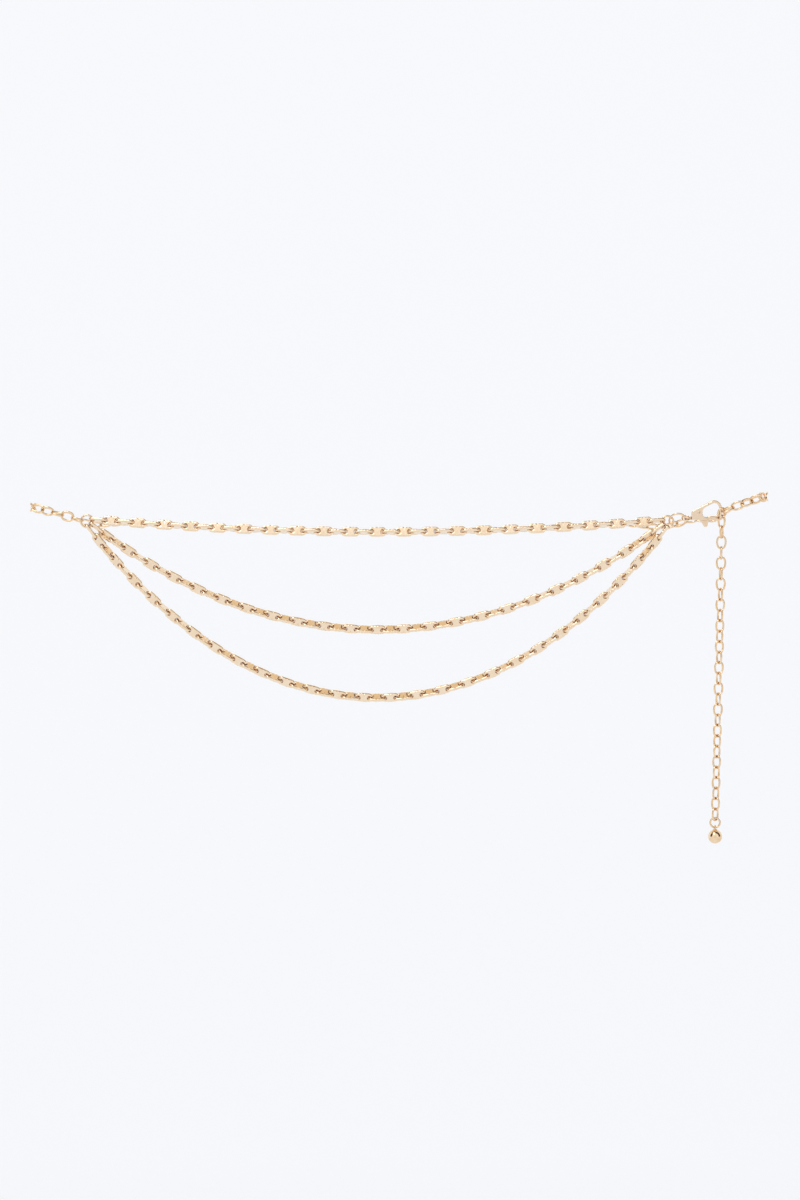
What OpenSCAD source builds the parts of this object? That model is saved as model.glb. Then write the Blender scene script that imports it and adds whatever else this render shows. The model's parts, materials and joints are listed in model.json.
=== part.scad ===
// Waist chain: three draped strands of mariner links between two rings,
// a cable chain round the back, a swivel lobster clasp and a free end
// with a ball. Millimetres, +Z up, front strands on the -Y side.

/* [Waist] */
// Depth of the loop at its left end
back_left = 60; // [59.5:0.5:60.5]
// Depth of the loop at its right end
back_right = 55; // [54.5:0.5:55.5]
// Size of the rounded corners at the back
corner = 7; // [6.5:0.5:8]

/* [Mariner links] */
// Length of a mariner link
mar_l = 9.2; // [9.16:0.02:9.22]
// Width of a mariner link
mar_w = 5; // [4.9:0.1:5.1]
// Thickness of its rim
mar_t = 1.32; // [1.31:0.01:1.34]
// Radius of the outer corners
mar_r = 1.8; // [1.7:0.1:1.9]
// Thickness of the plate between its two holes
plate_t = 1.2; // [1.1:0.1:1.25]
// Radius of the holes
hole_r = 0.95; // [0.9:0.05:1]
// Distance of the holes from its middle
hole_x = 2.6; // [2.55:0.05:2.65]

/* [Strands] */
// Drop of the top strand below its ends
top_sag = 6.3; // [6:0.1:6.6]
// Number of links in the top strand
top_n = 43; // [43:1:43]
// Drop of the middle strand below its ends
middle_sag = 53; // [52.5:0.1:53.5]
// Number of links in the middle strand
middle_n = 47; // [47:1:47]
// Drop of the lower strand below its ends
lower_sag = 86; // [85.5:0.1:86.5]
// Number of links in the lower strand
lower_n = 53; // [53:1:53]
// Roll of the top strand's flat links about the strand
top_roll = 14; // [8:1:20]
// Roll of the flat links of the two lower strands, half way along
low_roll = 38; // [32:1:42]

/* [Cable links] */
// Length of a cable link
cab_l = 6.95; // [6.93:0.01:6.97]
// Width of a cable link
cab_w = 5.25; // [5.1:0.05:5.4]
// Wire of a cable link
cab_d = 1; // [0.99:0.01:1.02]
// Distance from link to link
cab_pitch = 5.13; // [5.13:0.01:5.14]

/* [Rings] */
// Radius of the two strand rings, at the middle of the wire
ring_r = 3.06; // [3.04:0.01:3.1]
// Radius of the clasp ring, at the middle of the wire
clasp_ring_r = 4.12; // [4.1:0.01:4.14]
// Lean of the clasp ring, its top forward
clasp_ring_lean = 40.5; // [39:0.5:42]
// Wire of all rings
ring_d = 1; // [0.98:0.01:1]
// Radius of the ball's ring, at the middle of the wire
ball_ring_r = 2.4; // [2.35:0.05:2.45]

/* [Clasp] */
// Thickness of the clasp's body
body_t = 2.8; // [2.6:0.1:3]
// Thickness of the hook's arm
arm_d = 1.5; // [1.4:0.02:1.6]
// Thickness of the hook's nose
nose_d = 1.36; // [1.3:0.02:1.36]
// Thickness of the lever
lever_t = 1.1; // [1:0.05:1.15]
// Width of the slot that the lever swings in
slot_t = 1.3; // [1.3:0.05:1.4]
// Diameter of the lever's pin
pin_d = 1; // [0.9:0.05:1.05]
// Play of the lever on its pin, on the radius
pin_play = 0.05; // [0.03:0.01:0.08]
// Diameter of the swivel's post
post_d = 1.1; // [1:0.05:1.15]

/* [Free end] */
// Number of links in the free end
ext_n = 29; // [29:1:29]
// Length of one of its links
ext_l = 7.05; // [7.03:0.01:7.07]
// Diameter of the ball
ball_d = 7; // [6.8:0.1:7.2]

/* [Hidden] */

gold = [0.93, 0.80, 0.58];
gold_b = [0.90, 0.75, 0.52];
gold_c = [0.96, 0.85, 0.66];
gap = 0.1;                      // play between linked pieces
fy = -30;                       // plane of the front strands
left_c = [-156.5, fy, -0.6];    // middle of the left ring
right_c = [133.7, fy, -1.05];   // middle of the right ring
pivot = [149.5, fy, 3.5];       // middle of the lever's pin
hook_c = [160.74, fy + 0.27, 3.31];  // middle of the hooked link
hook_lean = 34.2;               // its top leans forward
hook_turn = 28.5;               // its turn about its own length
chain_end = [161.82, fy + 0.01, 4.48];  // where the right chain joins it
ext_top = [160.96, fy + 1.08, 1.93];    // where the free end joins it
ball_ring_c = [157.65, fy + 1.08, -151.38];

// ---- small helpers -------------------------------------------------
function cosh_(t) = (exp(t) + exp(-t)) / 2;
function sinh_(t) = (exp(t) - exp(-t)) / 2;
function asinh_(t) = ln(t + sqrt(t * t + 1));
function acosh_(t) = ln(t + sqrt(t * t - 1));
function unit(v) = v / norm(v);
function polar(c, r, a) = c + r * [cos(a), 0, sin(a)];

// Places a child that lies along X, flat in XZ, between the points p and q,
// rolled about its length.
module between(p, q, roll = 0) {
    d = unit(q - p);
    u = unit([0, 0, 1] - d[2] * d);
    n = cross(u, d);
    c = (p + q) / 2;
    x = d;
    y = n;
    z = u;
    multmatrix([[x[0], y[0], z[0], c[0]],
                [x[1], y[1], z[1], c[1]],
                [x[2], y[2], z[2], c[2]],
                [0, 0, 0, 1]])
        rotate([roll, 0, 0]) children();
}

// Oval wire link along X, flat in XZ: two half rings and two straight sides.
module wire_link(l, w, d) {
    r = (w - d) / 2;
    h = l / 2 - w / 2;
    rotate([90, 0, 0]) {
        for (s = [0, 180])
            rotate([0, 0, s]) translate([h, 0, 0])
                rotate_extrude(angle = 180, start = -90, $fn = 48)
                    translate([r, 0]) circle(d = d, $fn = 32);
        for (s = [-1, 1])
            translate([-h, s * r, 0]) rotate([0, 90, 0])
                cylinder(d = d, h = 2 * h, $fn = 32);
    }
}

// Mariner link: a rounded oblong of wire, filled by a plate with two round
// holes, so that a broad bar is left across its middle.
module mariner_link() {
    cx = mar_l / 2 - mar_r;
    cz = mar_w / 2 - mar_r;
    rc = mar_r - mar_t / 2;
    rotate([90, 0, 0]) for (k = [0:3])
        translate([(k == 0 || k == 3 ? 1 : -1) * cx, (k < 2 ? 1 : -1) * cz, 0])
            rotate([0, 0, 90 * k]) rotate_extrude(angle = 90, $fn = 48)
                translate([rc, 0]) circle(d = mar_t, $fn = 32);
    for (s = [-1, 1]) {
        translate([-cx, 0, s * (cz + rc)]) rotate([0, 90, 0])
            cylinder(d = mar_t, h = 2 * cx, $fn = 32);
        translate([s * (cx + rc), 0, -cz]) cylinder(d = mar_t, h = 2 * cz, $fn = 32);
    }
    difference() {
        translate([-cx - rc, -plate_t / 2, -cz - rc])
            cube([2 * (cx + rc), plate_t, 2 * (cz + rc)]);
        // holes, flared towards both faces
        for (s = [-1, 1]) translate([s * hole_x, 0, 0]) rotate([90, 0, 0]) {
            cylinder(r = hole_r, h = 4, center = true, $fn = 40);
            for (t = [0, 180]) rotate([t, 0, 0]) translate([0, 0, 0.12])
                cylinder(r1 = hole_r, r2 = hole_r + 0.6, h = 0.6, $fn = 40);
        }
        for (sx = [-1, 1], sz = [-1, 1])
            translate([sx * (cx + rc), 0, sz * (cz + rc)]) rotate([0, 45, 0])
                cube([0.9, 4, 0.9], center = true);
    }
}

// Plain round ring of wire, flat in XZ.
module ring(r, d) {
    rotate([90, 0, 0]) rotate_extrude($fn = 72) translate([r, 0]) circle(d = d, $fn = 32);
}

// ---- hanging strands -----------------------------------------------
// Constant of the hanging curve through two ends at heights h1 and h2
// above its lowest point, dx apart.
function span(a, h1, h2) = a * (acosh_(1 + h1 / a) + acosh_(1 + h2 / a));
function solve(dx, h1, h2, lo, hi, k = 0) =
    k > 50 ? (lo + hi) / 2 :
    let (m = (lo + hi) / 2)
        span(m, h1, h2) > dx ? solve(dx, h1, h2, lo, m, k + 1)
                             : solve(dx, h1, h2, m, hi, k + 1);

// The n + 1 points where the links of a strand meet, evenly spaced along
// the hanging curve from p to q, which drops by sag below p.
function hang(p, q, sag, n) =
    let (h1 = sag, h2 = sag + q[2] - p[2],
         a = solve(q[0] - p[0], h1, h2, 20, 6000),
         x0 = p[0] + a * acosh_(1 + h1 / a),
         s0 = a * sinh_((p[0] - x0) / a),
         s1 = a * sinh_((q[0] - x0) / a))
    [for (i = [0:n]) let (s = s0 + (s1 - s0) * i / n, x = x0 + a * asinh_(s / a))
        [x, p[1], p[2] - sag + a * (cosh_((x - x0) / a) - 1)]];

// The two lower strands lie flatter towards their ends: part of low_roll
// that is left, along the strand from end to end.
twist = [[0, 1], [0.035, 1], [0.09, 0.55], [0.2, 0.76], [0.32, 0.97], [0.5, 1.02], [0.58, 0.95],
         [0.7, 0.76], [0.82, 0.6], [0.91, 0.5], [0.965, 1], [1, 1]];
module mariner_strand(p, q, sag, n, roll, end_roll, turn = [[0, 1], [1, 1]]) {
    v = hang(p, q, sag, n);
    for (i = [0:n - 1]) {
        r = roll * lookup((i + 0.5) / n, turn);
        between(v[i], v[i + 1],
                i == 0 || i == n - 1 ? end_roll : i % 2 == 0 ? r + 90 : r)
            mariner_link();
    }
}

// Where the links bear in a ring, as distances from its middle. The three
// strands crowd the ring, so each bears at its own depth.
cab_in = ring_r - ring_d / 2 - gap - 0.09;
top_in = ring_r - 0.78;
middle_in = ring_r - 0.8;
lower_in = ring_r - 0.81;

// ---- the cable chain round the body --------------------------------
// Depths below count from the front plane.
path_l = polar(left_c, cab_in, 165);
left_corner = [-183.5, fy, 6.4];
// Joints of the right chain, from the corner in to the clasp
right_joints = [[183.1, fy + 4.4, 11.9], [180, fy + 0.4, 11.2], [175.4, fy + 1.9, 9.6],
                [170.85, fy + 0.3, 7.85], [166.6, fy + 0.9, 6.35]];
eye = 1600;                     // distance in front, where the loop is seen from
eye_z = -40;                    // and the height there

// The point d behind the front plane, in line with p and the eye.
function behind(p, d) = let (k = (eye + d) / (eye + p[1] - fy))
    [p[0] * k, fy + d, (p[2] - eye_z) * k + eye_z];
// Where p stands in the front plane, seen from the eye, as [x, z].
function seen(p) = let (q = behind(p, 0)) [q[0], q[2]];

// The line of the front from end to end, as [x, z]: the back chain follows
// it, low enough to keep clear of the view through the rings and the clasp.
front_line = concat(
    [seen(left_corner), [-160.5, 0.1], [-156.5, -2], [-151.5, -2.6]],
    [for (v = hang(polar(left_c, ring_r - 0.86, 25), polar(right_c, ring_r - 0.86, 155.4),
                   top_sag, 16))
        if (v[0] > -145 && v[0] < 118) [v[0], v[2]]],
    [[125, -3.6], [133.7, -3], [140, -1.2], [145.5, 0.25], [158.4, 0.4], [165.2, 6]],
    [for (i = [3:-1:0]) seen(right_joints[i])]);
back_l = behind(left_corner, back_left);
back_r = behind(right_joints[0], back_right);
function back_at(x) =
    let (d = back_left + (back_right - back_left) * (x - back_l[0]) / (back_r[0] - back_l[0]),
         k = (eye + d) / eye)
        [x, fy + d, (lookup(x / k, front_line) - eye_z) * k + eye_z];
// A corner at b of a line from a to c, rounded from t before it to t after it.
function rounded(a, b, c, t) =
    let (p = b + unit(a - b) * t, q = b + unit(c - b) * t)
        [for (w = [0:0.125:1]) (1 - w) * (1 - w) * p + 2 * w * (1 - w) * b + w * w * q];
back_w = back_r[0] - back_l[0];
route = concat(
    [path_l],
    [left_corner],
    rounded(left_corner, back_l, back_at(back_l[0] + 30), corner),
    [for (i = [1:99]) let (x = back_l[0] + corner + (back_w - 2 * corner) * i / 100) back_at(x)],
    rounded(back_at(back_r[0] - 30), back_r, right_joints[0], corner),
    right_joints,
    [chain_end]);
run = [for (i = 0, s = 0; i < len(route);
            s = s + (i + 1 < len(route) ? norm(route[i + 1] - route[i]) : 0), i = i + 1) s];
run_x = [for (i = [0:len(route) - 1]) [run[i], route[i][0]]];
run_y = [for (i = [0:len(route) - 1]) [run[i], route[i][1]]];
run_z = [for (i = [0:len(route) - 1]) [run[i], route[i][2]]];
run_len = run[len(run) - 1];
function at(s) = [lookup(s, run_x), lookup(s, run_y), lookup(s, run_z)];

slip = 0.30;                    // step back where two chain solids link up
chain_n = round(run_len / cab_pitch);
chain_p = (run_len + 2 * slip) / chain_n;
n1 = 34;                        // links in the left chain
n2 = 70;                        // links in the left and back chains
// Roll of each link: the first five at each end, then steep along the sides,
// the same five again where they pass behind, and close to edge on between.
left_roll = [90, 0, 72, -33, 36];
right_roll = [71.6, -34, 48, -42, 30];
function end_roll(k, first, side, last) =
    k < 5 ? first[k] : k < 5 + side ? (k % 2 == 0 ? 30 : -30)
    : k < 9 + side ? first[9 + side - k] : k == 9 + side ? last
    : k == 10 + side ? -50 : k % 2 == 0 ? 60 : -60;
function chain_roll(i) = i < n1 + 10 ? end_roll(i, left_roll, 11, 75)
                                     : end_roll(chain_n - 1 - i, right_roll, 9, 71.6);

module cable_run(i0, i1, back) {
    for (i = [i0:i1 - 1])
        between(at(i * chain_p - back), at((i + 1) * chain_p - back), chain_roll(i))
            wire_link(cab_l, cab_w, cab_d);
}

// ---- the free end --------------------------------------------------
ext_bot = ball_ring_c + [0, 0, ball_ring_r - ring_d / 2 - gap - 0.2];
function ext_at(t) = [ext_top[0] + (ext_bot[0] - ext_top[0]) * pow(t, 1.25),
                      ext_top[1] + (ext_bot[1] - ext_top[1]) * t,
                      ext_top[2] + (ext_bot[2] - ext_top[2]) * t];
// Turn of its links about their length: face and edge by turns, with a slow
// wander, and half way between the two near the bottom.
ext_turn = [[0, 50.6], [1, 20], [2, 8], [5, -8], [8, -20], [11, -33], [14, -20], [18, -18],
            [20, -30], [22, -46], [28, -49]];
function ext_roll(i) = 90 * i + lookup(i, ext_turn);

// ---- clasp outlines, in XZ about the pin ---------------------------
nose_x = 10.66;                 // middle of the nose
nose_z = -2.25;                 // middle of its round end
bend_r = 3.0;                   // radius of the hook's bend
bend_z = 2.65;                  // height of its middle
arm_a = 27.5;                   // slope of the arm
arm_l = 6.2;                    // length of its straight part
module plate_outline() {
    polygon([[-3.9, -3.6], [-3.9, 0.4], [-3.4, 1.0], [-0.6, 2.5], [2.2, 3.9], [4.6, 5.0],
             [5.0, 4.4], [3.0, 2.9], [2.2, 2.0], [1.75, 0.8], [1.7, -0.6], [2.1, -1.6],
             [3.2, -2.2], [5.0, -2.75], [3.9, -3.6]]);
}
// The hook: a straight arm, a bend and a nose that points down, all round.
module hook_wire() {
    bx = nose_x - bend_r;
    translate([bx, 0, bend_z]) rotate([90, 0, 0])
        rotate_extrude(angle = 90 + arm_a, $fn = 72) translate([bend_r, 0])
            circle(d = nose_d, $fn = 40);
    translate([bx + bend_r * cos(90 + arm_a), 0, bend_z + bend_r * sin(90 + arm_a)])
        rotate([0, -90 - arm_a, 0]) {
            translate([0, 0, 0.02]) cylinder(d = arm_d, h = arm_l, $fn = 40);
            sphere(d = arm_d + 0.03, $fn = 48);
        }
    translate([nose_x, 0, nose_z]) cylinder(d = nose_d, h = bend_z - nose_z, $fn = 40);
    translate([nose_x, 0, nose_z]) sphere(d = nose_d, $fn = 40);
}
module lever_outline() {
    hub = [for (a = [234:-12.7:-21]) 1.45 * [cos(a), sin(a)]];
    polygon(concat(hub, [[1.9, -1.9], [3.0, -2.5], [8.9, -2.5],
             [9.1, -2.75], [9.35, -3.05], [10.6, -3.05], [10.75, -3.3], [10.6, -3.8],
             [4.7, -3.8], [4.4, -4.2], [4.35, -6.3],
             [3.9, -7.0], [2.9, -7.0], [2.2, -6.4], [0.9, -4.0], [-0.6, -2.0]]));
}
module flat_y(t) { rotate([90, 0, 0]) translate([0, 0, -t / 2]) linear_extrude(t) children(); }

// ---- nodes ---------------------------------------------------------
module top_strand() {
    color(gold) mariner_strand(polar(left_c, top_in, 25), polar(right_c, top_in, 155.4),
                               top_sag, top_n, -top_roll, 90 - top_roll);
}
module middle_strand() {
    color(gold_b) mariner_strand(polar(left_c, middle_in, -32.7),
                                 polar(right_c, middle_in, 212.9),
                                 middle_sag, middle_n, low_roll, 78.6, twist);
}
module lower_strand() {
    color(gold_c) mariner_strand(polar(left_c, lower_in, -90),
                                 polar(right_c, lower_in, 269.5),
                                 lower_sag, lower_n, low_roll, 91.9, twist);
}
module left_ring() { color(gold_c) translate(left_c) ring(ring_r, ring_d); }
module right_ring() { color(gold_c) translate(right_c) ring(ring_r, ring_d); }
// The clasp ring bears in the right ring's upper right.
clasp_ring_c = right_c + [0.97 + clasp_ring_r, 0, 1.0];
module clasp_ring() {
    color(gold_b) translate(clasp_ring_c) rotate([clasp_ring_lean, 0, 0])
        ring(clasp_ring_r, ring_d);
}
// Swivel: a loop across the clasp ring and a headed post in the body.
loop_r = 1.75;
loop_c = [142.82, fy, 0.91];
body_x = pivot[0] - 3.9;        // back face of the body
module clasp_swivel() {
    color(gold) {
        translate(loop_c) rotate([clasp_ring_lean - 90, 0, 0]) ring(loop_r, ring_d);
        translate([loop_c[0] + loop_r + 0.2, fy, loop_c[2]]) rotate([0, 90, 0])
            cylinder(d = post_d, h = body_x + 1.75 - (loop_c[0] + loop_r + 0.2), $fn = 32);
        translate([body_x - 0.5, fy, loop_c[2]]) rotate([0, 90, 0])
            cylinder(d = 2.2, h = 0.35, $fn = 40);
        translate([body_x + 1.25, fy, loop_c[2]]) rotate([0, 90, 0])
            cylinder(d = 1.7, h = 0.5, $fn = 40);
    }
}
module clasp_body() {
    color(gold) difference() {
        union() {
            translate(pivot) difference() {
                union() {
                    flat_y(body_t) plate_outline();
                    hook_wire();
                }
                // slot that the lever swings in, open below
                translate([-1.95, -slot_t / 2, -4.5]) cube([9, slot_t, 6.2]);
            }
            translate(pivot) rotate([90, 0, 0])
                cylinder(d = pin_d, h = body_t + 0.3, center = true, $fn = 40);
        }
        // bore and head room for the swivel's post
        translate([body_x - 1, fy, loop_c[2]]) rotate([0, 90, 0])
            cylinder(d = post_d + 0.1, h = 2.5, $fn = 40);
        translate([body_x + 1.15, fy, loop_c[2]]) rotate([0, 90, 0])
            cylinder(d = 1.9, h = 0.7, $fn = 40);
    }
}
module clasp_lever() {
    color(gold_c) translate(pivot) difference() {
        flat_y(lever_t) lever_outline();
        rotate([90, 0, 0]) cylinder(d = pin_d + 2 * pin_play, h = lever_t + 1,
                                    center = true, $fn = 40);
    }
}
module hooked_link() {
    u = [0, -sin(hook_lean), cos(hook_lean)];
    color(gold_b) between(hook_c - u, hook_c + u, 90 + hook_turn)
        wire_link(cab_l, cab_w, cab_d);
}
module left_chain() { color(gold) cable_run(0, n1, 0); }
module back_chain() { color(gold_b) cable_run(n1, n2, slip); }
module right_chain() { color(gold) cable_run(n2, chain_n, 2 * slip); }
module extender_chain() {
    color(gold_c) for (i = [0:ext_n - 1])
        between(ext_at(i / ext_n), ext_at((i + 1) / ext_n), ext_roll(i))
            wire_link(ext_l, cab_w, cab_d);
}
module ball_ring() { color(gold) translate(ball_ring_c) ring(ball_ring_r, ring_d); }
// Ball with a small eye that stands across the ring.
ball_c = ball_ring_c - [0, 0, 6.95];
module ball_drop() {
    color(gold_c) {
        translate(ball_c) sphere(d = ball_d, $fn = 96);
        translate(ball_c + [0, 0, ball_d / 2 + 1.0]) rotate([0, 0, 90]) ring(1.05, 0.7);
        translate(ball_c + [0, 0, ball_d / 2 - 0.4]) cylinder(d = 1.1, h = 0.7, $fn = 32);
    }
}

top_strand();
middle_strand();
lower_strand();
left_ring();
right_ring();
clasp_ring();
clasp_swivel();
clasp_body();
clasp_lever();
hooked_link();
left_chain();
back_chain();
right_chain();
extender_chain();
ball_ring();
ball_drop();
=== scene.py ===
import json
import math
import bpy
import numpy as np
from mathutils import Matrix, Vector

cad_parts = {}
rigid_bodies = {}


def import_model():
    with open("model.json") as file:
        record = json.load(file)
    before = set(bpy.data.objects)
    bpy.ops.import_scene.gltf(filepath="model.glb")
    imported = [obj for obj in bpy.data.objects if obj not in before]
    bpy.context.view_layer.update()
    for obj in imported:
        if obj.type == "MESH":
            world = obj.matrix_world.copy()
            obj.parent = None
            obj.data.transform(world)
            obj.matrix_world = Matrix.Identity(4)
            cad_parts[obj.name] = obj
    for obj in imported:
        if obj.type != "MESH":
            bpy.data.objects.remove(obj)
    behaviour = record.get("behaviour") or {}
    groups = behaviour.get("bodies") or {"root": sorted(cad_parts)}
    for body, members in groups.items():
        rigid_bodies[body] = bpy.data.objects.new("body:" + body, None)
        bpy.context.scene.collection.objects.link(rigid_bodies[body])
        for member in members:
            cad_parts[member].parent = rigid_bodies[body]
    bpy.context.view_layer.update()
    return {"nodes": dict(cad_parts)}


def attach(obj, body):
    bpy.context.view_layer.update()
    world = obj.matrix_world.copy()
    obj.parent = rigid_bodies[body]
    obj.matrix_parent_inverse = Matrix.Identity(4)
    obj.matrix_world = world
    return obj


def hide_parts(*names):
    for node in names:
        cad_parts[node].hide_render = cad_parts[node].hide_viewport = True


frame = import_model()
rng = np.random.default_rng(11)
MM = 0.001

# ---- measures in mm, the same as the CAD model's -----------------------
FY = -30.0
BACK_LEFT, BACK_RIGHT, CORNER = 60.0, 55.0, 7.0
RING_R, RING_D = 3.06, 1.0
CLASP_RING_R, CLASP_RING_LEAN = 4.12, 40.5
BALL_RING_R, BALL_D = 2.4, 7.0
CAB_PITCH, SLIP = 5.13, 0.30
LEFT_C = np.array([-156.5, FY, -0.6])
RIGHT_C = np.array([133.7, FY, -1.05])
PIVOT = np.array([149.5, FY, 3.5])
HOOK_C = np.array([160.74, FY + 0.27, 3.31])
HOOK_LEAN, HOOK_TURN = 34.2, 28.5
CHAIN_END = np.array([161.82, FY + 0.01, 4.48])
EXT_TOP = np.array([160.96, FY + 1.08, 1.93])
EXT_N = 29
BALL_RING_C = np.array([157.65, FY + 1.08, -151.38])
GAP = 0.1


# ---- mesh helpers ------------------------------------------------------
def make(name, parts, body="chain", replaces=(), smooth=True):
    """One object from a list of (verts in mm, {corner count: faces})."""
    verts, loops, sizes = [], [], []
    base = 0
    for v, faces in parts:
        verts.append(v)
        for k in sorted(faces):
            f = np.asarray(faces[k], np.int64)
            if len(f):
                loops.append((f + base).ravel())
                sizes.append(np.full(len(f), k, np.int64))
        base += len(v)
    verts = np.concatenate(verts) * MM
    loops = np.concatenate(loops)
    sizes = np.concatenate(sizes)
    me = bpy.data.meshes.new(name)
    me.vertices.add(len(verts))
    me.vertices.foreach_set("co", verts.astype(np.float32).ravel())
    me.loops.add(len(loops))
    me.loops.foreach_set("vertex_index", loops.astype(np.int32))
    me.polygons.add(len(sizes))
    starts = np.concatenate([[0], np.cumsum(sizes)[:-1]])
    me.polygons.foreach_set("loop_start", starts.astype(np.int32))
    me.polygons.foreach_set("use_smooth", np.full(len(sizes), smooth, bool))
    me.update(calc_edges=True)
    me.validate()
    ob = bpy.data.objects.new(name, me)
    bpy.context.scene.collection.objects.link(ob)
    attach(ob, body)
    if replaces:
        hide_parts(*replaces)
    return ob


def placed(part, rot, at):
    v, f = part
    return v @ np.asarray(rot).T + np.asarray(at), f


def grid_faces(n, m, close_n=True, close_m=True):
    """Quads of an n by m grid of points, numbered row by row."""
    i = np.arange(n if close_n else n - 1)
    j = np.arange(m if close_m else m - 1)
    i, j = np.meshgrid(i, j, indexing="ij")
    i2, j2 = (i + 1) % n, (j + 1) % m
    return np.stack([i * m + j, i2 * m + j, i2 * m + j2, i * m + j2], -1).reshape(-1, 4)


def unit(v):
    v = np.asarray(v, float)
    return v / np.linalg.norm(v, axis=-1, keepdims=True)


def sweep(path, side, radii, m=12, closed=True, power=2.0, caps=False):
    """A tube along path. side: a vector for each point, one of its two cross axes; radii: (n, 2)
    half sizes along side and along the other cross axis."""
    path = np.asarray(path, float)
    n = len(path)
    if closed:
        tan = unit(np.roll(path, -1, 0) - np.roll(path, 1, 0))
    else:
        tan = unit(np.gradient(path, axis=0))
    side = np.broadcast_to(side, (n, 3)).astype(float)
    side = unit(side - (side * tan).sum(1, keepdims=True) * tan)
    other = np.cross(tan, side)
    radii = np.broadcast_to(radii, (n, 2)).astype(float)
    a = 2 * np.pi * np.arange(m) / m
    c, s = np.cos(a), np.sin(a)
    c = np.sign(c) * np.abs(c) ** (2 / power)
    s = np.sign(s) * np.abs(s) ** (2 / power)
    v = (path[:, None] + side[:, None] * (radii[:, :1] * c)[..., None]
         + other[:, None] * (radii[:, 1:] * s)[..., None]).reshape(-1, 3)
    f = {4: grid_faces(n, m, closed, True)}
    if caps and not closed:
        f[m] = np.array([np.arange(m)[::-1], (n - 1) * m + np.arange(m)])
        f[m] = f[m][:, ::-1]
    return v, f


def even(path, n, closed=True):
    """n points evenly spaced along a fine path."""
    p = np.asarray(path, float)
    if closed:
        p = np.vstack([p, p[:1]])
    s = np.concatenate([[0], np.cumsum(np.linalg.norm(np.diff(p, axis=0), axis=1))])
    t = np.linspace(0, s[-1], n + 1 if closed else n)[:n]
    return np.stack([np.interp(t, s, p[:, k]) for k in range(3)], 1)


def oval(a, b, power, n):
    t = np.linspace(0, 2 * np.pi, 721)[:-1]
    c, s = np.cos(t), np.sin(t)
    x = a * np.sign(c) * np.abs(c) ** (2 / power)
    z = b * np.sign(s) * np.abs(s) ** (2 / power)
    return even(np.stack([x, 0 * x, z], 1), n)


def ball_part(r, n=48, m=24):
    t = np.pi * np.arange(1, m) / m
    a = 2 * np.pi * np.arange(n) / n
    v = np.stack([r * np.sin(t)[:, None] * np.cos(a), r * np.sin(t)[:, None] * np.sin(a),
                  r * np.cos(t)[:, None] + 0 * a], -1).reshape(-1, 3)
    v = np.vstack([v, [[0, 0, r], [0, 0, -r]]])
    k = np.arange(n)
    top, low = (m - 1) * n, (m - 1) * n + 1
    tri = np.vstack([np.stack([0 * k + top, k, (k + 1) % n], 1),
                     np.stack([0 * k + low, (m - 2) * n + (k + 1) % n, (m - 2) * n + k], 1)])
    return v, {4: grid_faces(m - 1, n, False, True), 3: tri}


def lathe(profile, n=32):
    """Turned about X: profile is a list of (x, radius), closed at both ends."""
    p = np.asarray(profile, float)
    a = 2 * np.pi * np.arange(n) / n
    v = np.stack([p[:, :1] + 0 * a, p[:, 1:] * np.cos(a), p[:, 1:] * np.sin(a)], -1).reshape(-1, 3)
    k = len(p)
    f = {4: grid_faces(k, n, False, True)[:, ::-1],
         n: np.array([np.arange(n), ((k - 1) * n + np.arange(n))[::-1]])}
    return v, f


def frame_of(p, q, roll):
    """The turn that lays X from p to q with the flat in XZ, rolled about its length."""
    d = unit(np.asarray(q) - np.asarray(p))
    u = unit(np.array([0, 0, 1.0]) - d[2] * d)
    nrm = np.cross(u, d)
    m = np.stack([d, nrm, u], 1)
    c, s = math.cos(math.radians(roll)), math.sin(math.radians(roll))
    return m @ np.array([[1, 0, 0], [0, c, -s], [0, s, c]])


def rot(ax, deg):
    return np.array(Matrix.Rotation(math.radians(deg), 3, ax))


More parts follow.
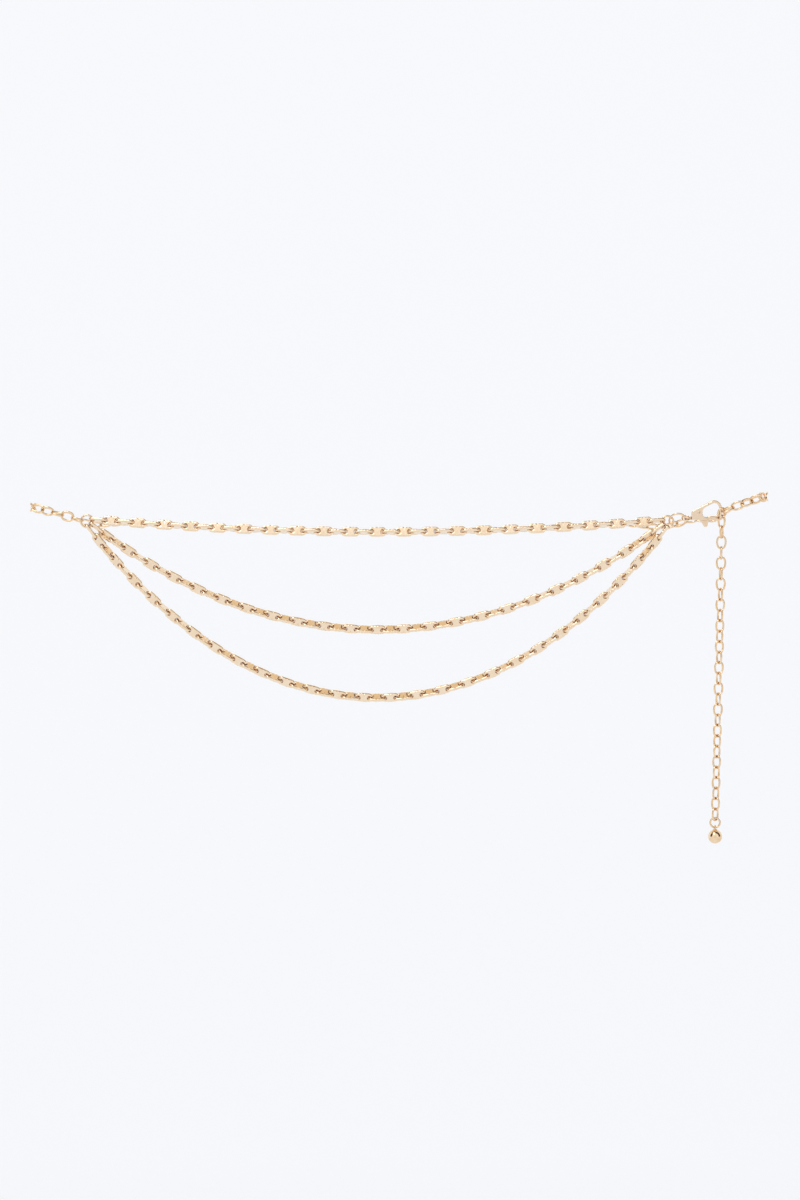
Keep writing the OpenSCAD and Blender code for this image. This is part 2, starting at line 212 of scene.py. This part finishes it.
# ---- one link of each kind ---------------------------------------------
def mariner():
    """A rounded oblong link with two round flared holes and a flat panel between them, notched
    at the middle of its upper and lower end. Worked out as rays that run from each hole to the
    outline, or to the middle of the link."""
    half_l, half_w, r = 4.6, 2.5, 2.15
    cx, thick = 2.62, 0.76

    def inside(x, z):
        """Distance in from the outline."""
        qx, qz = np.abs(x) - (half_l - r), np.abs(z) - (half_w - r)
        return r - (np.hypot(np.maximum(qx, 0), np.maximum(qz, 0))
                    + np.minimum(np.maximum(qx, qz), 0))

    def fillet(u):
        return np.sqrt(np.maximum(0, 1 - (1 - np.clip(u, 0, 1)) ** 2))

    turn = math.degrees(math.atan2(half_w, -cx))
    phi = list(np.linspace(0, turn, 17))
    phi += [math.degrees(math.atan2(z, -cx)) for z in (2.43, 2.28, 1.95, 1.4, 0.7)] + [180]
    phi = np.radians(np.array(phi + [360 - a for a in phi[-2:0:-1]]))
    c, n = np.cos(phi), np.sin(phi)
    throat = 1 / np.sqrt((c / 0.80) ** 2 + (n / 0.98) ** 2)
    t = np.linspace(0, 5, 4001)
    hit = inside(cx + t[:, None] * c, t[:, None] * n) > 0
    end = t[hit.sum(0) - 1] + 0.0006
    mid = c < -0.01
    end[mid] = np.minimum(end[mid], -cx / c[mid])
    k1, k2 = np.array([0, 0.134, 0.5, 1.0]) * 0.52, np.array([1.0, 0.5, 0.134, 0]) * 0.55
    rows = [throat + k for k in k1] + [(throat + k1[-1] + end - k2[0]) / 2] + [end - k for k in k2]
    d = np.array(rows)
    x, z = cx + d * c, d * n
    x[np.abs(x) < 0.002] = 0
    ro = 0.24 + 0.36 * np.clip((np.abs(x) - 0.85) / 0.5, 0, 1) ** 1.5
    y = thick * fillet((d - throat) / 0.52) * fillet((inside(x, z) - 0.001) / ro)
    notch = np.exp(-(x / 0.22) ** 2) * np.clip((np.abs(z) - 0.9) / 0.7, 0, 1)
    y = y * (1 - 0.26 * notch)
    y[0] = 0
    y[-1, ~mid] = 0
    y[-1, mid] = np.where(np.abs(z[-1, mid]) > half_w - 0.01, 0, y[-1, mid])
    k, m = x.shape
    face = grid_faces(k, m, False, True)
    vs, fs = [], []
    for sx in (1, -1):
        for sy in (1, -1):
            vs.append(np.stack([sx * x, sy * y, z], -1).reshape(-1, 3))
            f = face + (len(vs) - 1) * k * m
            fs.append(f if sx * sy > 0 else f[:, ::-1])
    v = np.concatenate(vs)
    _, first, back = np.unique(np.round(v, 3), axis=0, return_index=True, return_inverse=True)
    return v[first], {4: back.ravel()[np.concatenate(fs)]}


def cable(length, width=5.25, wire=0.99, n=40, m=12):
    a, b = (length - wire) / 2, (width - wire) / 2
    path = oval(a, b, 2.3, n)
    out = unit(path * [1 / a ** 2, 0, 1 / b ** 2])
    return sweep(path, out, (wire / 2, wire / 2), m)


def merge(parts):
    vs, fs, base = [], {}, 0
    for v, f in parts:
        for k in f:
            fs.setdefault(k, []).append(np.asarray(f[k]) + base)
        vs.append(v)
        base += len(v)
    return np.concatenate(vs), {k: np.concatenate(x) for k, x in fs.items()}


def jump_ring(r, wire, seam_deg, n=72, m=14, cut=0.07):
    """A round ring in XZ, cut through at seam_deg with a hair of a gap."""
    half = math.degrees(cut / 2 / r)
    t = np.radians(np.linspace(seam_deg + half, seam_deg + 360 - half, n))
    path = np.stack([r * np.cos(t), 0 * t, r * np.sin(t)], 1)
    rad = np.full(n, wire / 2)
    rad[0] = rad[-1] = wire / 2 - 0.05
    t0 = [t[0], t[0] + math.radians(1.2), *t[1:-1], t[-1] - math.radians(1.2), t[-1]]
    t = np.array(t0)
    path = np.stack([r * np.cos(t), 0 * t, r * np.sin(t)], 1)
    rad = np.full(len(t), wire / 2)
    rad[0] = rad[-1] = wire / 2 - 0.06
    return sweep(path, unit(path), np.stack([rad, rad], 1), m, False, caps=True)


# ---- the routes, worked out as in the CAD ------------------------------
def polar(c, r, a):
    a = math.radians(a)
    return c + r * np.array([math.cos(a), 0, math.sin(a)])


def hang(p, q, sag, n):
    h1, h2 = sag, sag + q[2] - p[2]
    lo, hi = 20.0, 6000.0
    for _ in range(60):
        a = (lo + hi) / 2
        if a * (math.acosh(1 + h1 / a) + math.acosh(1 + h2 / a)) > q[0] - p[0]:
            hi = a
        else:
            lo = a
    x0 = p[0] + a * math.acosh(1 + h1 / a)
    s0, s1 = a * math.sinh((p[0] - x0) / a), a * math.sinh((q[0] - x0) / a)
    s = s0 + (s1 - s0) * np.arange(n + 1) / n
    x = x0 + a * np.arcsinh(s / a)
    return np.stack([x, 0 * x + p[1], p[2] - sag + a * (np.cosh((x - x0) / a) - 1)], 1)


def ease(t):
    u = max(0.0, min(1.0, t))
    return u * u * (3 - 2 * u)


TWIST = np.array([[0, 1], [0.035, 1], [0.09, 0.55], [0.2, 0.76], [0.32, 0.97], [0.5, 1.02], [0.58, 0.95],
                  [0.7, 0.76], [0.82, 0.6], [0.91, 0.5], [0.965, 1], [1, 1]])


def strand(name, p, q, sag, n, roll, end_roll, node):
    v = hang(p, q, sag, n)
    link = mariner()
    parts = []
    for i in range(n):
        r = roll * (np.interp((i + 0.5) / n, *TWIST.T) if roll > 0 else 1)
        r = end_roll if i in (0, n - 1) else (r + 90 if i % 2 == 0 else r)
        if 1 < i < n - 2:
            r += rng.uniform(-2.5, 2.5)
        parts.append(placed(link, frame_of(v[i], v[i + 1], r), (v[i] + v[i + 1]) / 2))
    return make(name, [merge(parts)], "chain", (node,))


cab_in = RING_R - RING_D / 2 - GAP - 0.09
path_l = polar(LEFT_C, cab_in, 165)


sind = lambda a: math.sin(math.radians(a))
cosd = lambda a: math.cos(math.radians(a))
LEFT_CORNER = np.array([-183.5, FY, 6.4])
RIGHT_JOINTS = [np.array([x, FY + y, z]) for x, y, z in
                ((183.1, 4.4, 11.9), (180, 0.4, 11.2), (175.4, 1.9, 9.6), (170.85, 0.3, 7.85),
                 (166.6, 0.9, 6.35))]
EYE, EYE_Z = 1600.0, -40.0


def behind(p, d):
    k = (EYE + d) / (EYE + p[1] - FY)
    return np.array([p[0] * k, FY + d, (p[2] - EYE_Z) * k + EYE_Z])


def seen(p):
    return behind(p, 0)[[0, 2]]


top_line = hang(polar(LEFT_C, RING_R - 0.86, 25), polar(RIGHT_C, RING_R - 0.86, 155.4), 6.3, 16)
front_line = np.array(
    [seen(LEFT_CORNER), [-160.5, 0.1], [-156.5, -2], [-151.5, -2.6]]
    + [v[[0, 2]] for v in top_line if -145 < v[0] < 118]
    + [[125, -3.6], [133.7, -3], [140, -1.2], [145.5, 0.25], [158.4, 0.4], [165.2, 6]]
    + [seen(RIGHT_JOINTS[i]) for i in (3, 2, 1, 0)])
BACK_L, BACK_R = behind(LEFT_CORNER, BACK_LEFT), behind(RIGHT_JOINTS[0], BACK_RIGHT)


def back_at(x):
    d = BACK_LEFT + (BACK_RIGHT - BACK_LEFT) * (x - BACK_L[0]) / (BACK_R[0] - BACK_L[0])
    k = (EYE + d) / EYE
    return np.array([x, FY + d, (np.interp(x / k, front_line[:, 0], front_line[:, 1]) - EYE_Z) * k
                     + EYE_Z])


def rounded(a, b, c, t):
    p, q = b + unit(a - b) * t, b + unit(c - b) * t
    return [(1 - w) ** 2 * p + 2 * w * (1 - w) * b + w * w * q for w in np.arange(9) / 8]


back_w = BACK_R[0] - BACK_L[0]
route = [path_l, LEFT_CORNER]
route += rounded(LEFT_CORNER, BACK_L, back_at(BACK_L[0] + 30), CORNER)
route += [back_at(BACK_L[0] + CORNER + (back_w - 2 * CORNER) * i / 100) for i in range(1, 100)]
route += rounded(back_at(BACK_R[0] - 30), BACK_R, RIGHT_JOINTS[0], CORNER)
route += RIGHT_JOINTS + [CHAIN_END]
route = np.array(route)
run = np.concatenate([[0], np.cumsum(np.linalg.norm(np.diff(route, axis=0), axis=1))])
CHAIN_N = int(round(run[-1] / CAB_PITCH))
CHAIN_P = (run[-1] + 2 * SLIP) / CHAIN_N
N1, N2 = 34, 70


def at(s):
    return np.array([np.interp(s, run, route[:, k]) for k in range(3)])


LEFT_ROLL, RIGHT_ROLL = [90, 0, 72, -33, 36], [71.6, -34, 48, -42, 30]


def end_roll(k, first, side, last):
    if k < 5:
        return first[k]
    if k < 5 + side:
        return 30 if k % 2 == 0 else -30
    if k < 9 + side:
        return first[9 + side - k]
    if k < 11 + side:
        return last if k == 9 + side else -50
    return 60 if k % 2 == 0 else -60


def chain_roll(i):
    if i < N1 + 10:
        return end_roll(i, LEFT_ROLL, 11, 75)
    return end_roll(CHAIN_N - 1 - i, RIGHT_ROLL, 9, 71.6)


# the back links have run a little along the chain in their play, up to the front ones' places
PLAY = np.array([[5, 0], [16, 0.4], [20, 0.95], [CHAIN_N - 18, 1.85], [CHAIN_N - 14, 1.5],
                 [CHAIN_N - 5, 0]])


def cable_run(name, i0, i1, back, node):
    link = cable(7.0)
    parts = []
    for i in range(i0, i1):
        p, q = [at(k * CHAIN_P - back + np.interp(k, PLAY[:, 0], PLAY[:, 1])) for k in (i, i + 1)]
        parts.append(placed(link, frame_of(p, q, chain_roll(i)), (p + q) / 2))
    return make(name, [merge(parts)], "chain", (node,))


EXT_BOT = BALL_RING_C + [0, 0, BALL_RING_R - RING_D / 2 - GAP - 0.2]
EXT_TURN = [[0, 50.6], [1, 20], [2, 8], [5, -8], [8, -20], [11, -33], [14, -20], [18, -18],
            [20, -30], [22, -46], [28, -49]]


def ext_at(t):
    d = EXT_BOT - EXT_TOP
    return EXT_TOP + d * [t ** 1.25, t, t]


def ext_roll(i):
    return 90 * i + float(np.interp(i, [r[0] for r in EXT_TURN], [r[1] for r in EXT_TURN]))


# ---- chains ------------------------------------------------------------
TOP_IN, MIDDLE_IN, LOWER_IN = RING_R - 0.78, RING_R - 0.80, RING_R - 0.81
strand("top_links", polar(LEFT_C, TOP_IN, 25), polar(RIGHT_C, TOP_IN, 155.4),
       6.3, 43, -14, 76, "top_strand")
strand("middle_links", polar(LEFT_C, MIDDLE_IN, -32.7), polar(RIGHT_C, MIDDLE_IN, 212.9),
       53, 47, 38, 78.6, "middle_strand")
strand("lower_links", polar(LEFT_C, LOWER_IN, -90), polar(RIGHT_C, LOWER_IN, 269.5),
       86, 53, 38, 91.9, "lower_strand")
cable_run("left_links", 0, N1, 0, "left_chain")
cable_run("back_links", N1, N2, SLIP, "back_chain")
cable_run("right_links", N2, CHAIN_N, 2 * SLIP, "right_chain")
ext = []
for i in range(EXT_N):
    p, q = ext_at(i / EXT_N), ext_at((i + 1) / EXT_N)
    ext.append(placed(cable(7.08), frame_of(p, q, ext_roll(i)), (p + q) / 2))
make("extender_links", [merge(ext)], "chain", ("extender_chain",))
u = np.array([0, -sind(HOOK_LEAN), cosd(HOOK_LEAN)])
make("hooked_cable_link", [placed(cable(6.98, 5.25, 0.97, 56, 14),
                                  frame_of(HOOK_C - u, HOOK_C + u, 90 + HOOK_TURN), HOOK_C)],
     "chain", ("hooked_link",))

# ---- rings -------------------------------------------------------------
make("left_jump_ring", [placed(jump_ring(RING_R, 0.97, 128), np.eye(3), LEFT_C)],
     "chain", ("left_ring",))
make("right_jump_ring", [placed(jump_ring(RING_R, 0.97, 62), np.eye(3), RIGHT_C)],
     "chain", ("right_ring",))
clasp_ring_c = RIGHT_C + [0.97 + CLASP_RING_R, 0, 1.0]
make("clasp_jump_ring", [placed(jump_ring(CLASP_RING_R, 0.97, 250), rot("X", CLASP_RING_LEAN),
                                clasp_ring_c)], "chain", ("clasp_ring",))
make("ball_jump_ring", [placed(jump_ring(BALL_RING_R, 0.97, 200), np.eye(3), BALL_RING_C)],
     "chain", ("ball_ring",))

# ---- ball --------------------------------------------------------------
ball_c = BALL_RING_C - [0, 0, 6.95]
eye = sweep(np.stack([0 * np.arange(48.0), 1.05 * np.cos(np.arange(48) * np.pi / 24),
                      1.05 * np.sin(np.arange(48) * np.pi / 24)], 1),
            unit(np.stack([0 * np.arange(48.0), np.cos(np.arange(48) * np.pi / 24),
                           np.sin(np.arange(48) * np.pi / 24)], 1)), (0.34, 0.34), 12)
collar = lathe([(-0.1, 0.5), (-0.1, 1.15), (0.22, 1.12), (0.36, 0.95), (0.42, 0.6)], 36)
make("ball_bead", [placed(ball_part(BALL_D / 2, 72, 40), np.eye(3), ball_c),
                   placed(eye, np.eye(3), ball_c + [0, 0, BALL_D / 2 + 1.0]),
                   placed(collar, rot("Y", -90), ball_c + [0, 0, BALL_D / 2 - 0.22])],
     "chain", ("ball_drop",))

# ---- swivel ------------------------------------------------------------
loop_r = 1.75
loop_c = np.array([142.82, FY, 0.91])
body_x = PIVOT[0] - 3.9
t = np.arange(60) * 2 * np.pi / 60
loop_path = np.stack([loop_r * np.cos(t), 0 * t, loop_r * np.sin(t)], 1)
loop = sweep(loop_path, unit(loop_path), (0.48, 0.5), 14)
post = lathe([(1.6, 0.3), (1.62, 0.72), (2.0, 0.62), (2.25, 0.95), (2.3, 1.08), (2.55, 1.08),
              (2.6, 0.95), (2.62, 0.54), (4.5, 0.54), (4.52, 0.3)], 36)
make("swivel_loop", [placed(loop, rot("X", CLASP_RING_LEAN - 90), loop_c),
                     placed(post, np.eye(3), loop_c)],
     "chain", ("clasp_swivel",))


# ---- clasp: worked in mm about the pin, then brought to its place ------
def solid(name, parts):
    """A bare mesh object in mm, for joining and cutting."""
    me = bpy.data.meshes.new(name)
    v, f = merge(parts)
    me.from_pydata([tuple(p) for p in v], [], [tuple(int(i) for i in x) for k in f for x in f[k]])
    me.update()
    ob = bpy.data.objects.new(name, me)
    bpy.context.scene.collection.objects.link(ob)
    return ob


def prism(outline, half, inset=0.28):
    """A slab in XZ with chamfered rims, from an outline that runs anticlockwise seen from -Y."""
    o = np.asarray(outline, float)
    n = len(o)
    d1 = unit(o - np.roll(o, 1, 0))
    d2 = unit(np.roll(o, -1, 0) - o)
    nrm = unit(np.stack([d1[:, 1] + d2[:, 1], -(d1[:, 0] + d2[:, 0])], 1))
    inner = o - nrm * inset
    rows = [(inner, -half), (o - nrm * inset * 0.3, -half + inset * 0.3), (o, -half + inset),
            (o, half - inset), (o - nrm * inset * 0.3, half - inset * 0.3), (inner, half)]
    v = np.concatenate([np.stack([r[:, 0], np.full(n, y), r[:, 1]], 1) for r, y in rows])
    k = len(rows)
    return v, {4: grid_faces(k, n, False, True)[:, ::-1],
               n: np.array([np.arange(n), ((k - 1) * n + np.arange(n))[::-1]])}


def run_modifier(ob, kind, **values):
    mod = ob.modifiers.new(kind.lower(), kind)
    for key, value in values.items():
        setattr(mod, key, value)
    dg = bpy.context.evaluated_depsgraph_get()
    me = bpy.data.meshes.new_from_object(ob.evaluated_get(dg), depsgraph=dg)
    ob.modifiers.clear()
    ob.data = me


def remeshed(name, parts, voxel=0.1, smooth=5):
    """One rounded skin round several overlapping solids."""
    ob = solid(name, parts)
    run_modifier(ob, "REMESH", mode="VOXEL", voxel_size=voxel, use_smooth_shade=True)
    if smooth:
        run_modifier(ob, "SMOOTH", factor=0.5, iterations=smooth)
    return ob


def cut(ob, cutter):
    run_modifier(ob, "BOOLEAN", operation="DIFFERENCE", object=cutter, solver="EXACT")
    bpy.data.objects.remove(cutter)


def block(lo, hi):
    lo, hi = np.asarray(lo, float), np.asarray(hi, float)
    c = np.array([[x, y, z] for x in (0, 1) for y in (0, 1) for z in (0, 1)], float)
    f = [[0, 1, 3, 2], [4, 6, 7, 5], [0, 4, 5, 1], [2, 3, 7, 6], [0, 2, 6, 4], [1, 5, 7, 3]]
    return solid("block", [(lo + c * (hi - lo), {4: np.array(f)})])


def settle(ob, name, offset, body, replaces):
    me = ob.data
    co = np.zeros(len(me.vertices) * 3, np.float32)
    me.vertices.foreach_get("co", co)
    co = (co.reshape(-1, 3) + offset) * MM
    me.vertices.foreach_set("co", co.astype(np.float32).ravel())
    me.polygons.foreach_set("use_smooth", np.ones(len(me.polygons), bool))
    me.update()
    ob.name = name
    me.name = name
    me.materials.clear()
    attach(ob, body)
    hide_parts(*replaces)
    return ob


NOSE_X, NOSE_Z, BEND_R, BEND_Z, ARM_A, ARM_L = 10.66, -2.25, 3.0, 2.65, 27.5, 6.2
bx = NOSE_X - BEND_R
hook = [(NOSE_X, z) for z in np.linspace(NOSE_Z, BEND_Z, 9)[:-1]]
hook += [(bx + BEND_R * cosd(a), BEND_Z + BEND_R * sind(a))
         for a in np.linspace(0, 90 + ARM_A, 22)]
ex, ez = hook[-1]
hook += [(ex - k * cosd(ARM_A), ez - k * sind(ARM_A)) for k in np.linspace(0.5, ARM_L, 10)]
hook = np.array([[x, 0, z] for x, z in hook])
s = np.linspace(0, 1, len(hook))
half = np.interp(s, [0, 0.04, 0.35, 0.7, 1], [0.52, 0.66, 0.68, 0.74, 0.78])
deep = np.interp(s, [0, 0.04, 0.35, 0.7, 1], [0.5, 0.66, 0.68, 0.80, 1.15])
arm = sweep(hook, (0, 1, 0), np.stack([deep, half], 1), 20, False, 2.2, caps=True)
tip = placed(ball_part(0.66, 20, 12), np.eye(3), [NOSE_X, 0, NOSE_Z])
PLATE = [[-3.85, -3.55], [3.85, -3.55], [4.9, -2.8], [3.2, -2.25], [2.1, -1.65], [1.7, -0.6],
         [1.75, 0.8], [2.2, 2.0], [3.0, 2.9], [4.9, 4.3], [4.5, 4.9], [2.2, 3.85],
         [-0.6, 2.45], [-3.35, 0.95], [-3.85, 0.35]]
plate = prism(PLATE, 1.4, 0.35)
body = remeshed("clasp_body_work", [plate, arm, tip], 0.1, 4)
cut(body, block([-1.95, -0.66, -4.6], [7.2, 0.66, 1.7]))
settle(body, "clasp_hook", PIVOT, "chain", ("clasp_body",))
# domed heads of the pin on both faces
dome = [(0.0, 0.85), (0.10, 0.85), (0.17, 0.72), (0.21, 0.5), (0.22, 0.25)]
heads = [placed(lathe(dome, 28), rot("Z", sg * 90), PIVOT + [0, sg * 1.36, 0]) for sg in (-1, 1)]
pin = placed(lathe([(-1.3, 0.47), (1.3, 0.47)], 24), rot("Z", 90), PIVOT)
make("clasp_pin", [merge(heads + [pin])], "chain")

LEVER = [(-1.2, -0.75), (-0.6, -2.0), (0.7, -3.9), (2.15, -6.3), (2.5, -6.8), (3.0, -7.0), (3.7, -6.98),
         (4.15, -6.65), (4.35, -6.1), (4.42, -4.3), (4.8, -3.8), (10.5, -3.75), (10.7, -3.45), (10.55, -3.1),
         (9.4, -3.05), (9.1, -2.75), (8.8, -2.52), (3.0, -2.5), (1.9, -1.9), (1.45, -0.5)]
LEVER += [(1.42 * cosd(a), 1.42 * sind(a)) for a in range(0, 211, 15)]
lever = remeshed("clasp_lever_work", [prism(LEVER, 0.54, 0.16)], 0.1, 3)
cut(lever, solid("bore", [placed(lathe([(-1, 0.55), (1, 0.55)], 32), rot("Z", 90), [0, 0, 0])]))
settle(lever, "clasp_gate", PIVOT, "lever", ("clasp_lever",))


# ---- materials ---------------------------------------------------------
def plated(name, light, deep, rough=(0.10, 0.22), bump=0.05, scale=260.0,
           crevice_shade=(0.5, 0.235, 0.06)):
    """Polished pale gold plating: slow colour drift, fine haze, and a cast surface that
    isn't quite even."""
    m = bpy.data.materials.new(name)
    m.use_nodes = True
    nt = m.node_tree
    b = nt.nodes["Principled BSDF"]
    b.inputs["Metallic"].default_value = 1.0
    tc = nt.nodes.new("ShaderNodeTexCoord")

    def noise(sc, detail, rough_):
        n = nt.nodes.new("ShaderNodeTexNoise")
        n.inputs["Scale"].default_value = sc
        n.inputs["Detail"].default_value = detail
        n.inputs["Roughness"].default_value = rough_
        nt.links.new(tc.outputs["Object"], n.inputs["Vector"])
        return n

    drift = noise(scale, 2.0, 0.5)
    ramp = nt.nodes.new("ShaderNodeValToRGB")
    ramp.color_ramp.elements[0].position = 0.32
    ramp.color_ramp.elements[0].color = (*deep, 1)
    ramp.color_ramp.elements[1].position = 0.66
    ramp.color_ramp.elements[1].color = (*light, 1)
    nt.links.new(drift.outputs["Fac"], ramp.inputs["Fac"])
    # painted shade: ambient occlusion darkens the base colour where links bear on one another and inside the
    # holes
    ao = nt.nodes.new("ShaderNodeAmbientOcclusion")
    ao.samples = 6
    ao.inputs["Distance"].default_value = 0.0011
    shade = nt.nodes.new("ShaderNodeValToRGB")
    shade.color_ramp.elements[0].position = 0.22
    shade.color_ramp.elements[0].color = (*crevice_shade, 1)
    shade.color_ramp.elements[1].position = 0.74
    shade.color_ramp.elements[1].color = (1, 1, 1, 1)
    nt.links.new(ao.outputs["AO"], shade.inputs["Fac"])
    tone = nt.nodes.new("ShaderNodeMix")
    tone.data_type = "RGBA"
    tone.blend_type = "MULTIPLY"
    tone.inputs["Factor"].default_value = 1.0
    nt.links.new(ramp.outputs["Color"], tone.inputs[6])
    nt.links.new(shade.outputs["Color"], tone.inputs[7])
    nt.links.new(tone.outputs[2], b.inputs["Base Color"])
    haze = noise(scale * 3.1, 4.0, 0.6)
    mr = nt.nodes.new("ShaderNodeMapRange")
    mr.inputs["From Min"].default_value = 0.3
    mr.inputs["From Max"].default_value = 0.7
    mr.inputs["To Min"].default_value = rough[0]
    mr.inputs["To Max"].default_value = rough[1]
    nt.links.new(haze.outputs["Fac"], mr.inputs["Value"])
    nt.links.new(mr.outputs["Result"], b.inputs["Roughness"])
    cast = noise(scale * 2.3, 3.0, 0.55)
    bp = nt.nodes.new("ShaderNodeBump")
    bp.inputs["Strength"].default_value = bump
    bp.inputs["Distance"].default_value = 0.0004
    nt.links.new(cast.outputs["Fac"], bp.inputs["Height"])
    nt.links.new(bp.outputs["Normal"], b.inputs["Normal"])
    return m


gold_strand = plated("gold_strand", (0.98, 0.825, 0.635), (0.955, 0.765, 0.54))
gold_cable = plated("gold_cable", (0.95, 0.755, 0.53), (0.88, 0.63, 0.37), scale=300.0)
gold_clasp = plated("gold_clasp", (0.95, 0.785, 0.595), (0.92, 0.735, 0.53),
                    rough=(0.16, 0.30), bump=0.10, scale=340.0)
for ob in bpy.data.objects:
    if ob.type != "MESH" or ob.name in frame["nodes"]:
        continue
    mat = gold_cable
    if ob.name in ("top_links", "middle_links", "lower_links"):
        mat = gold_strand
    elif ob.name in ("clasp_hook", "clasp_gate", "clasp_pin", "swivel_loop"):
        mat = gold_clasp
    ob.data.materials.clear()
    ob.data.materials.append(mat)
for name, ob in frame["nodes"].items():
    ob.data.materials.clear()
    ob.data.materials.append(gold_strand if name.endswith("strand") else
                             gold_clasp if name in ("clasp_body", "clasp_lever", "clasp_swivel")
                             else gold_cable)

# ---- stage -------------------------------------------------------------
# A pale sweep: a wall well behind the chain that curves into a floor far below it.
prof = [(3.2, 2.2)]
prof += [(2.2 + 0 * k, z) for k, z in ((0, 2.2), (0, 1.0), (0, 0.0), (0, -0.7))]
prof += [(2.2 - 0.25 + 0.25 * cosd(a), -0.75 - 0.25 * sind(a)) for a in range(10, 91, 10)]
prof += [(0.5, -1.0), (-1.5, -1.0), (-3.5, -1.0)]
prof = prof[1:]
xs = [-3.6, -1.8, 0.0, 1.8, 3.6]
sv = np.array([[x, y, z] for y, z in prof for x in xs])
me = bpy.data.meshes.new("sweep")
me.from_pydata([tuple(p) for p in sv], [],
               [tuple(int(i) for i in f) for f in grid_faces(len(prof), len(xs), False, False)])
me.polygons.foreach_set("use_smooth", np.ones(len(me.polygons), bool))
me.update()
wall = bpy.data.objects.new("sweep", me)
bpy.context.scene.collection.objects.link(wall)
wm = bpy.data.materials.new("sweep_paper")
wm.use_nodes = True
wb = wm.node_tree.nodes["Principled BSDF"]
wb.inputs["Base Color"].default_value = (0.40, 0.405, 0.415, 1)
wb.inputs["Roughness"].default_value = 0.9
wb.inputs["Specular IOR Level"].default_value = 0.0
wb.inputs["Emission Color"].default_value = (0.928, 0.948, 0.985, 1)
wb.inputs["Emission Strength"].default_value = 0.643
wall.data.materials.append(wm)

# ---- light -------------------------------------------------------------
world = bpy.data.worlds.new("studio")
bpy.context.scene.world = world
world.use_nodes = True
nt = world.node_tree
bg = nt.nodes["Background"]
tc = nt.nodes.new("ShaderNodeTexCoord")
sep = nt.nodes.new("ShaderNodeSeparateXYZ")
nt.links.new(tc.outputs["Generated"], sep.inputs["Vector"])


def smooth_range(out, lo, hi):
    m = nt.nodes.new("ShaderNodeMapRange")
    m.interpolation_type = "SMOOTHSTEP"
    m.inputs["From Min"].default_value = lo
    m.inputs["From Max"].default_value = hi
    nt.links.new(out, m.inputs["Value"])
    return m.outputs["Result"]


def blend(fac, a, b):
    m = nt.nodes.new("ShaderNodeMix")
    m.data_type = "RGBA"
    if isinstance(fac, float):
        m.inputs["Factor"].default_value = fac
    else:
        nt.links.new(fac, m.inputs["Factor"])
    for sock, val in ((m.inputs[6], a), (m.inputs[7], b)):
        if isinstance(val, tuple):
            sock.default_value = (*val, 1)
        else:
            nt.links.new(val, sock)
    return m.outputs[2]


def times(a, b):
    m = nt.nodes.new("ShaderNodeMath")
    m.operation = "MULTIPLY"
    for sock, val in zip(m.inputs, (a, b)):
        if isinstance(val, float):
            sock.default_value = val
        else:
            nt.links.new(val, sock)
    return m.outputs["Value"]


# Pale paper behind and below, broad light in front that is weaker straight ahead, a light
# above, and the warm unlit room between them at the sides and the top.
front = times(sep.outputs["Y"], -1.0)
paper_c, front_c, ahead_c, low_c, room_c = ((0.96, 0.97, 1.0), (1.0, 0.97, 0.93),
                                            (0.82, 0.80, 0.80), (1.0, 0.98, 0.96),
                                            (0.050, 0.022, 0.008))
col = blend(smooth_range(front, 0.0, 0.5), paper_c, front_c)
col = blend(smooth_range(front, 0.84, 0.985), col, ahead_c)
col = blend(smooth_range(sep.outputs["Z"], -0.1, -0.6), col, low_c)
above = times(smooth_range(sep.outputs["Z"], 0.60, 0.88), smooth_range(front, 0.12, -0.10))
col = blend(above, col, (0.80, 0.65, 0.46))
room = times(times(smooth_range(front, 0.62, 0.48), smooth_range(front, -0.12, 0.04)),
             smooth_range(sep.outputs["Z"], -0.15, 0.10))
col = blend(room, col, room_c)
nt.links.new(col, bg.inputs["Color"])
bg.inputs["Strength"].default_value = 1.0


def area(name, at_, aim, size, power, color=(1, 1, 1), size_y=None):
    d = bpy.data.lights.new(name, "AREA")
    d.energy = power
    d.color = color
    d.size = size
    if size_y:
        d.shape = "RECTANGLE"
        d.size_y = size_y
    o = bpy.data.objects.new(name, d)
    o.location = at_
    o.rotation_mode = "QUATERNION"
    o.rotation_quaternion = (Vector(aim) - Vector(at_)).to_track_quat("-Z", "Y")
    bpy.context.scene.collection.objects.link(o)
    return o


area("soft_top", (-0.5, -0.9, 1.5), (0, 0.1, -0.05), 0.9, 9.0)

# ---- camera ------------------------------------------------------------
cam_d = bpy.data.cameras.new("camera")
cam_d.lens = 96.0
cam_d.sensor_width = 36.0
cam_d.sensor_fit = "AUTO"
cam_d.clip_start = 0.05
cam_d.clip_end = 20.0
cam = bpy.data.objects.new("camera", cam_d)
cam.location = (0.0, -1.630, -0.040)
cam.rotation_euler = (math.radians(90), 0, 0)
bpy.context.scene.collection.objects.link(cam)
bpy.context.scene.camera = cam
bpy.context.scene.view_settings.view_transform = "Standard"
